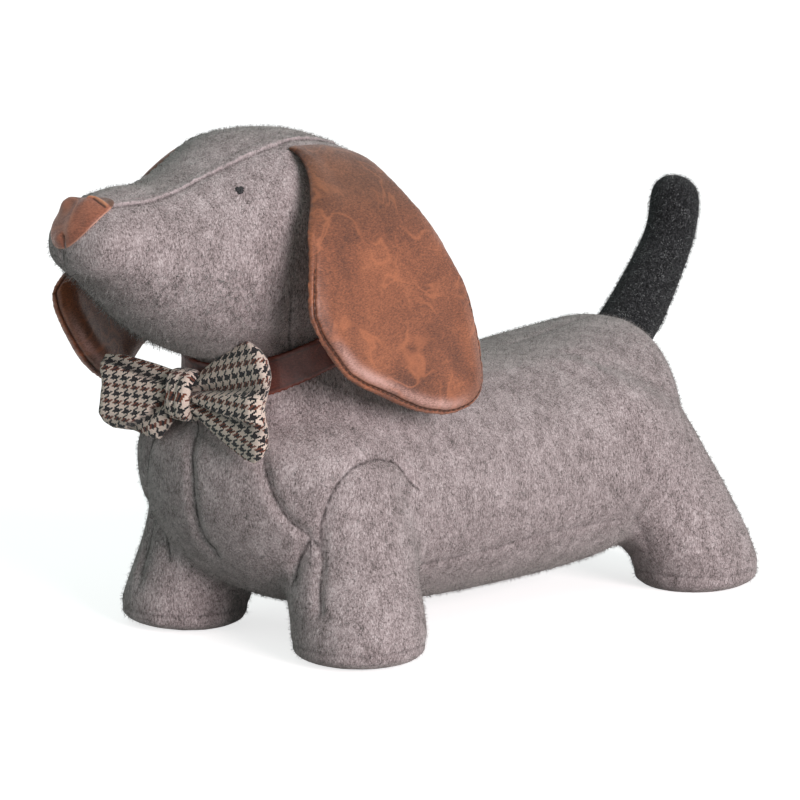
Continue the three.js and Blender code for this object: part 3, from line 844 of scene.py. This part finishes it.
def leather_collar(finish):
    """The strap, rounded at its edges. Each point knows how far it is from the middle line."""
    strap = copy_of("leather_collar", "collar")
    finish_with(strap, "REMESH", mode="VOXEL", voxel_size=1.0 * MM, adaptivity=0)
    finish_with(strap, "LAPLACIANSMOOTH", lambda_factor=0.5, iterations=3, use_volume_preserve=True)
    points = millimetres(strap)
    share = (points[:, 1] + 144.5) / 108.1
    middle = 119 + 34 * np.sin(math.pi / 2 * np.minimum(share, 1.1))
    mark(strap, "from_middle", points[:, 2] - middle)
    smooth(strap)
    finish.wear(strap)
    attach(strap, "root")
    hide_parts("collar")
    return strap


# The bow tie

bow_depth = -153.5
bow_height = 113
bow_columns, bow_rows = 120, 96


def table(rows, at):
    """Reads a table of (place, value) rows, going evenly from one to the next."""
    return np.interp(at, [row[0] for row in rows], [row[1] for row in rows])


def face_corners(piece):
    """The number of the point at each corner of each face."""
    corners = np.zeros(len(piece.data.loops), int)
    piece.data.loops.foreach_get("vertex_index", corners)
    return corners


def lay_cloth(piece, flat):
    """Keeps where each corner lies on the flat cloth, in mm, for the woven check."""
    layer = piece.data.uv_layers[0]
    layer.name = "cloth"
    layer.data.foreach_set("uv", (flat * MM).astype(np.float32).ravel())


def bow_wings(finish):
    """One loop of cloth, lofted from the far wing through the waist to the near wing."""
    bow, along, turn = flat_grid("bow_tie_wings", bow_columns, bow_rows)
    turn = turn * math.pi
    # From -1 at the far end to 1 at the near one, with the points crowded at both ends
    crowd = np.sign(along) * (1 - (1 - np.abs(along)) ** 1.5)
    open_way = np.abs(crowd)
    # Round the loop: level goes from -1 at its low edge to 1 at its top, front is 1 in front
    level, front = np.sin(turn), np.cos(turn)
    level = np.sign(level) * np.abs(level) ** 0.75
    near_wing = crowd > 0
    # Top and bottom edges, then the wavy ends, from the knot outwards
    near_top = [(0, 121), (0.15, 122.5), (0.35, 128.5), (0.7, 137), (0.9, 140.5), (1, 139.5)]
    far_top = [(0, 121), (0.15, 122.5), (0.4, 124.5), (0.8, 127), (1, 126.5)]
    near_low = [(0, 105), (0.15, 103.5), (0.3, 100), (0.6, 94), (0.85, 90.5), (1, 90)]
    far_low = [(0, 105), (0.15, 103), (0.28, 97), (0.4, 91.5), (0.55, 92), (0.75, 94), (1, 94)]
    top = np.where(near_wing, table(near_top, open_way), table(far_top, open_way))
    low = np.where(near_wing, table(near_low, open_way), table(far_low, open_way))
    near_end = table([(-1, 44), (-0.9, 48), (-0.75, 50.5), (-0.5, 50), (-0.1, 46.5), (0.1, 48),
                      (0.45, 50.5), (0.75, 48.5), (0.9, 44.5), (1, 40)], level)
    far_end = table([(-1, -48.5), (-0.85, -53.5), (-0.6, -55), (-0.1, -53), (0.3, -51.5),
                     (0.8, -52), (1, -49.5)], level)
    x = np.where(near_wing, -6 + (near_end + 4) * open_way, -6 + (far_end + 5) * open_way)
    z = low + (top - low) * (level + 1) / 2
    swell = smooth_step(0.05, 0.6, open_way)
    closed = np.sqrt(np.clip(1 - ((open_way - 0.88) / 0.12).clip(0, 1) ** 2, 0.0, 1))
    thick = (3.4 + 1.8 * swell) * closed

    def lap(at, depth, reach):
        """A fold that lies over the cloth beyond the line, which comes back up within the reach."""
        past = (level - at) * np.sign(reach)
        under = np.where(past > 0, -depth * np.exp(-past / abs(reach)), 0)
        return under * smooth_step(-0.02, 0.05, past)

    def ridge(at, width, rise):
        return rise * hill(level - at, width)

    upper = np.where(near_wing, 0.2 - 0.06 * open_way, 0.45 + 0.35 * open_way)
    lower = np.where(near_wing, -0.3, 0.45 - 1.9 * open_way)
    near_folds = (lap(upper, 5.2, 0.5) + ridge(0.08 - 0.06 * open_way, 0.12, 1.1)
                  + lap(lower, 3.4, -0.35) + ridge(-0.22, 0.14, 0.8) + ridge(0.66, 0.2, 1.4)
                  + ridge(-0.74, 0.16, 1.2) + ridge(-0.12, 0.07, -0.9))
    far_folds = (lap(upper, 2.6, 0.3) + ridge(0.3 + 0.3 * open_way, 0.14, 0.9)
                 + lap(lower, 2.8, -0.4) + ridge(lower + 0.12, 0.14, 1.2) + ridge(-0.6, 0.2, 1.4)
                 + ridge(-0.05 + 0.2 * open_way, 0.08, -0.8))
    fade = smooth_step(0.02, 0.2, open_way) * (1 - 0.2 * smooth_step(0.5, 1, open_way)) * closed
    pleats = np.where(near_wing, near_folds, far_folds)
    gathers = 1.1 * np.cos(level * 11) * (1 - smooth_step(0.1, 0.4, open_way))
    out = front * thick + (pleats * fade + gathers * closed) * (front > 0) * np.abs(front) ** 0.4
    sway = -5.0 * open_way ** 2 + np.where(near_wing, 1.0, -1.0) * open_way * level * 1.5
    y = bow_depth + sway - out
    put_back(bow, np.stack([x, y, z], 1))
    # The cloth's own flat measures: along the bow and up its height
    corners = face_corners(bow)
    sizes = [len(face.vertices) for face in bow.data.polygons]
    of_face = np.repeat(np.arange(len(sizes)), sizes)

    def on_face(values):
        return (np.bincount(of_face, values[corners]) / sizes)[of_face]

    # How far each point is from the waist, measured on the cloth itself
    rows = np.lexsort((along, turn))
    laid = np.stack([x, bow_depth + sway - front * thick], 1)[rows]
    laid = laid.reshape(bow_rows + 1, bow_columns + 1, 2)
    reached = np.cumsum(np.linalg.norm(np.diff(laid, axis=1, prepend=laid[:, :1]), axis=2), axis=1)
    across = np.empty(len(x))
    waist = bow_columns // 2
    across[rows] = (reached - reached[:, waist:waist + 1]).ravel()
    across = (across / 1.13)[corners]
    high = (z - bow_height) * np.where(near_wing, 1.12, 1.32)
    up = np.where(front > 0, high, np.sign(turn) * 52 - high)[corners]
    facing, high, way = on_face(front) > 0, on_face(level), on_face(crowd) > 0
    above, below = facing & (high > on_face(upper)), facing & (high < on_face(lower))
    lean = np.radians(np.select([above & way, below & way, above, below], [-17, 19, 16, -30], 0))
    slip = np.select([above & way, below & way, above, below], [1.7, 3.1, 2.3, 1.1], 0)
    cloth = np.stack([across * np.cos(lean) - up * np.sin(lean) + slip,
                      across * np.sin(lean) + up * np.cos(lean) + slip], 1)
    lay_cloth(bow, cloth)
    beside = np.minimum(np.where(level > upper, level - upper, 9),
                        np.where(level < lower, lower - level, 9))
    mark(bow, "fold_shade", np.exp(-beside / 0.11) * (front > 0) * smooth_step(0.0, 0.1, open_way))
    weld(bow, 0.05)
    finish_with(bow, "SUBSURF", levels=1, render_levels=1)
    smooth(bow)
    finish.wear(bow)
    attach(bow, "root")
    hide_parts("bow_wings")
    return bow


def bow_knot(finish):
    """The band of the same cloth round the bow's waist."""
    knot, across, turn = flat_grid("bow_tie_knot", 28, 72)
    turn = turn * math.pi
    edge = np.sqrt(np.clip(1 - np.abs(across) ** 5, 0, 1))
    front, level = np.cos(turn), np.sin(turn)
    front, level = np.sign(front) * np.abs(front) ** 0.8, np.sign(level) * np.abs(level) ** 0.8
    crease = 0.7 * hill(across - 0.25 * level, 0.16) + 0.5 * hill(across + 0.55, 0.12)
    half_height = 11.4 - 3.5 * (1 - edge) - 0.3 * crease
    half_depth = 7.4 - 3.5 * (1 - edge) - crease * (front > 0)
    x = -6.5 + across * (6.9 + 0.8 * level * np.sign(front)) + 0.6 * level
    y, z = bow_depth - 0.4 - front * half_depth, bow_height + level * half_height
    put_back(knot, np.stack([x, y, z], 1))
    lay_cloth(knot, np.stack([x + 100, turn * 10 + 30], 1)[face_corners(knot)])
    weld(knot, 0.05)
    smooth(knot)
    finish.wear(knot)
    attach(knot, "root")
    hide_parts("bow_knot")
    return knot


# Loose fibres

bare_below = 3.5


def fibres(name, piece, count, length, seed, where, finish):
    """Short bent hairs standing in the piece's surface, three sides each and a point."""
    random = np.random.default_rng(seed)
    piece.data.calc_loop_triangles()
    corners = np.zeros(len(piece.data.loop_triangles) * 3, int)
    piece.data.loop_triangles.foreach_get("vertices", corners)
    points = millimetres(piece)
    triangles = points[corners.reshape(-1, 3)]
    corner, one_way, other_way = triangles[:, 0], triangles[:, 1], triangles[:, 2]
    one_way, other_way = one_way - corner, other_way - corner
    area = np.cross(one_way, other_way)
    size = np.linalg.norm(area, axis=1)
    middles = triangles.mean(1)
    y, z = middles[:, 1], middles[:, 2]
    weight = size * where(y, z) * (z > bare_below)
    picked = random.choice(len(size), count, p=weight / weight.sum())
    u, v = random.random((2, count, 1))
    flip = u + v > 1
    u, v = np.where(flip, 1 - u, u), np.where(flip, 1 - v, v)
    root = corner[picked] + one_way[picked] * u + other_way[picked] * v
    up = (area / np.maximum(size, 1e-9)[:, None])[picked]
    lay = random.normal(size=(count, 3)) + np.array([0, 0.1, -0.5])
    lay = unit(lay - (lay * up).sum(1, keepdims=True) * up, 1e-6)
    reach = length * random.uniform(0.45, 1.3, (count, 1))
    tilt = random.uniform(0.25, 1.1, (count, 1))
    turned = np.cross(up, lay) * random.normal(0, 0.6, (count, 1))
    mid = root + reach * (0.42 * up * np.cos(tilt) + 0.5 * lay * np.sin(tilt))
    tip = mid + reach * (0.25 * up * random.normal(0.2, 0.8, (count, 1)) + 0.4 * lay + 0.35 * turned)
    root = root - 0.3 * up
    side = np.cross(up, lay)
    thin = random.uniform(0.05, 0.085, (count, 1))
    ring = [(math.cos(turn), math.sin(turn)) for turn in (0, 2 * math.pi / 3, 4 * math.pi / 3)]
    rows = [spot + thin * grow * (side * x + lay * y)
            for spot, grow in ((root, 1.0), (mid, 0.85)) for x, y in ring]
    verts = np.stack([*rows, tip], 1).reshape(-1, 3)
    shape = []
    for this, following in ((0, 1), (1, 2), (2, 0)):
        shape += [(this, following, following + 3), (this, following + 3, this + 3),
                  (this + 3, following + 3, 6)]
    faces = (np.arange(count)[:, None, None] * 7 + np.array(shape)).reshape(-1, 3)
    mesh = bpy.data.meshes.new(name)
    mesh.vertices.add(len(verts))
    mesh.vertices.foreach_set("co", (verts * MM + np.array(feet_middle)).astype(np.float32).ravel())
    mesh.loops.add(len(faces) * 3)
    mesh.loops.foreach_set("vertex_index", faces.astype(np.int32).ravel())
    mesh.polygons.add(len(faces))
    mesh.polygons.foreach_set("loop_start", np.arange(len(faces), dtype=np.int32) * 3)
    mesh.update(calc_edges=True)
    tone = np.repeat(random.random(count), 7)
    rise = np.tile([0, 0, 0, 0.5, 0.5, 0.5, 1], count)
    flat = mesh.uv_layers.new(name="OFBake")
    both = np.stack([tone, rise], 1)[faces.ravel()]
    flat.data.foreach_set("uv", both.astype(np.float32).ravel())
    hair = bpy.data.objects.new(name, mesh)
    scene.collection.objects.link(hair)
    smooth(hair)
    finish.wear(hair)
    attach(hair, "root")
    return hair


# The dog's pieces

tan_colors = shade(80, 44, 30), shade(134, 78, 53), shade(178, 108, 74)
nose_colors = shade(112, 66, 50), shade(152, 92, 70), shade(184, 116, 88)
strap_colors = shade(50, 20, 14), shade(82, 34, 25), shade(112, 54, 40)
ear_leather = leather("distressed_ear_leather", *tan_colors, 0.42, rim=True)
nose_leather = leather("nose_leather", *nose_colors, 0.44, patch=True)
strap_leather = leather("dark_collar_leather", *strap_colors, 0.42, strap=True)
ear_thread = thread("brown_stitching", shade(70, 40, 28))
eye_thread = thread("black_eye_thread", shade(34, 34, 36))
cloth_check = houndstooth()
loose_wool = fuzz_finish("loose_grey_wool", (0.0, shade(86, 82, 78)), (0.5, shade(150, 143, 140)),
                         (1.0, shade(206, 200, 198)))
loose_dark_wool = fuzz_finish("loose_dark_wool", (0.0, shade(20, 20, 21)),
                              (0.85, shade(62, 62, 64)), (1.0, shade(190, 192, 192)))

skin = felt_skin()
for side, sign, hang in (("left", 1, near_hang), ("right", -1, far_hang)):
    leather_ear(side, sign, hang, ear_leather, ear_thread)
    thread_eye(side, sign, skin, eye_thread)
tail = stuffed("wool_tail", "tail", voxel=2.5, softening=3)
shape_by_hand(tail, tail_dents)
sink_foot(tail)
dark_wool().wear(tail)
leather_nose(skin, nose_leather)
leather_collar(strap_leather)
bow_wings(cloth_check)
bow_knot(cloth_check)

regions = {
    "head": lambda y, z: (y < -60) & (z > 128) & ((y > -205) | (z < 183)),
    "front": lambda y, z: (y < -50) & (z <= 128),
    "back": lambda y, z: (y < 60) & ((y >= -50) | ((y >= -60) & (z > 128))),
    "rear": lambda y, z: y >= 60,
}
for number, (region, where) in enumerate(regions.items()):
    hair = fibres(f"loose_wool_{region}", skin, 16000, 2.6, 11 + number, where, loose_wool)
hair = fibres("loose_wool_jaw", skin, 2500, 5.5, 21,
              lambda y, z: (y < -150) & (z > 135) & (z < 172), loose_wool)
hair = fibres("loose_wool_tail", tail, 7000, 2.8, 31, lambda y, z: z > 112, loose_dark_wool)


# The studio

camera_aim = (-25.364, -3.965, 90.930)
camera_turn, camera_rise = 44.2418, 9.27885
camera_distance = 1.8


def towards(turn, rise):
    """A way turned from the dog's front towards its left and raised, both in degrees."""
    turn, rise = math.radians(turn), math.radians(rise)
    return Vector((math.sin(turn) * math.cos(rise), -math.cos(turn) * math.cos(rise), math.sin(rise)))


def camera():
    back = towards(camera_turn, camera_rise)
    bpy.ops.object.camera_add(location=place(*camera_aim) + back * camera_distance)
    eye = bpy.context.object
    eye.rotation_euler = back.to_track_quat("Z", "Y").to_euler()
    eye.data.lens = 177.63
    eye.data.sensor_width = 36
    eye.data.clip_end = 50
    scene.camera = eye


def lamp(name, turn, rise, energy, softness, color):
    """A soft lamp that shines from this way, with its softness in degrees."""
    bpy.ops.object.light_add(type="SUN")
    light = bpy.context.object
    light.name = name
    light.rotation_euler = towards(turn, rise).to_track_quat("Z", "Y").to_euler()
    light.data.energy = energy
    light.data.angle = math.radians(softness)
    light.data.color = color


def joined(tree, kind, *links, **values):
    """A new node with its first inputs linked and others set."""
    node = tree.nodes.new(kind)
    for number, link in enumerate(links):
        tree.links.new(link, node.inputs[number])
    for name, value in values.items():
        node.inputs[name].default_value = value
    return node.outputs[0] if node.outputs else None


def seen_directly(tree):
    """1 for rays from the camera, a mirror or a glass, and 0 for light."""
    path = tree.nodes.new("ShaderNodeLightPath")
    seen = path.outputs["Is Camera Ray"]
    for name in ("Is Glossy Ray", "Is Transmission Ray"):
        larger = joined(tree, "ShaderNodeMath", seen, path.outputs[name])
        larger.node.operation = "MAXIMUM"
        seen = larger
    return seen


def studio():
    scene.world = bpy.data.worlds.new("studio")
    scene.world.use_nodes = True
    tree = scene.world.node_tree
    tree.nodes.clear()
    soft = joined(tree, "ShaderNodeBackground", Color=(0.25, 0.32, 0.305, 1))
    white = joined(tree, "ShaderNodeBackground", Color=(1, 1, 1, 1))
    mix = joined(tree, "ShaderNodeMixShader", seen_directly(tree), soft, white)
    joined(tree, "ShaderNodeOutputWorld", mix)

    lamp("key_lamp", 79, 14, 2.55, 26, (1, 0.925, 0.94))
    lamp("front_lamp", -20, 10, 0.1, 60, (0.94, 1, 0.99))

    bpy.ops.mesh.primitive_plane_add(size=16)
    floor = bpy.context.object
    floor.name = "floor"
    paper = bpy.data.materials.new("white_paper")
    paper.use_nodes = True
    tree = paper.node_tree
    tree.nodes.clear()
    dim = joined(tree, "ShaderNodeBsdfDiffuse", Color=(0.45, 0.45, 0.45, 1))
    pale = joined(tree, "ShaderNodeBsdfDiffuse", Color=(0.97, 0.9, 0.91, 1))
    glow = joined(tree, "ShaderNodeEmission", Strength=0.74)
    both = joined(tree, "ShaderNodeAddShader", pale, glow)
    mix = joined(tree, "ShaderNodeMixShader", seen_directly(tree), dim, both)
    joined(tree, "ShaderNodeOutputMaterial", mix)
    floor.data.materials.append(paper)


camera()
studio()
scene.view_settings.view_transform = "Standard"
